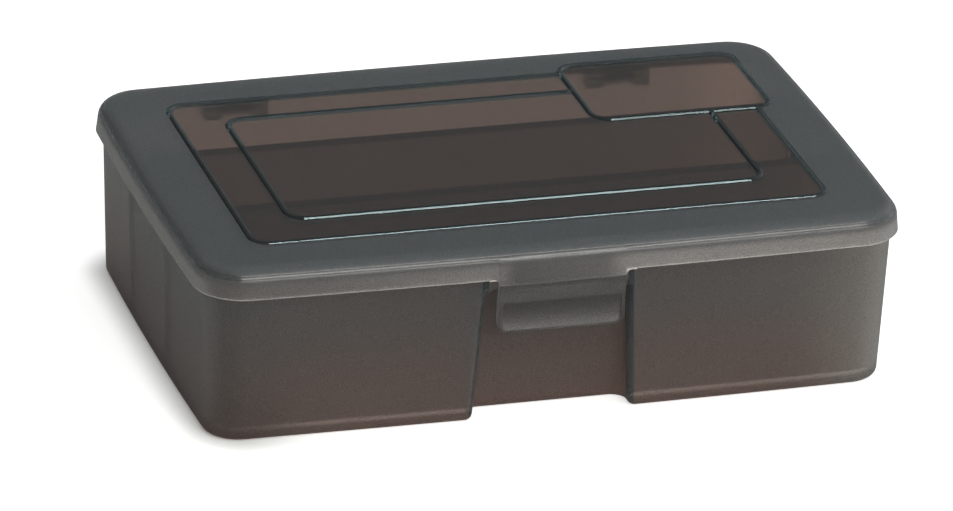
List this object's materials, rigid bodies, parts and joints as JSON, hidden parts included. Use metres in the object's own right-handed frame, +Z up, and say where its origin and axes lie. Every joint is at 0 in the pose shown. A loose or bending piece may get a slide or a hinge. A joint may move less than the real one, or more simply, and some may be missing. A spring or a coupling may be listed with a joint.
{
  "type": "pocket lure box",
  "caption": "Low rectangular lure box in smoke-tinted plastic: a moulded tray with long dividers under a hinged lid that snaps shut at a thumb tab.",
  "frame": {"origin": "centre of the tray's flat underside, where the box stands on a table", "axes": "+X along the box to the right as seen from the tab side, +Y from the tab at the front to the hinges at the back, +Z up"},
  "size_m": [0.15, 0.1011, 0.0389],
  "materials": {
    "smoke_tray": "smoke-tinted translucent plastic with a fine frosted skin",
    "smoke_lid": "smoke-tinted translucent plastic, frosted on the frame and skirt, polished inside the raised beads",
    "smoke_tab": "same moulding as the lid, finely frosted",
    "smoke_divider": "smoke-tinted translucent plastic, smooth",
    "pin_steel": "plain drawn wire"
  },
  "bodies": {
    "base": {"base_tray": "smoke_tray", "hinge_pin_left": "pin_steel", "hinge_pin_right": "pin_steel", "divider_front": "smoke_divider", "divider_rear": "smoke_divider"},
    "lid": {"lid": "smoke_lid"},
    "latch": {"latch_tab": "smoke_tab"}
  },
  "joints": [
    {"name": "lid_hinge", "type": "hinge", "parent": "base", "child": "lid", "pos_m": [0, 0.0499, 0.0302], "axis": [-1, 0, 0], "range_deg": [0, 180]},
    {"name": "latch_flex", "type": "hinge", "parent": "lid", "child": "latch", "pos_m": [0, -0.0495, 0.0309], "axis": [-1, 0, 0], "range_deg": [0, 18], "stiffness_Nm_per_rad": 0.01}
  ]
}
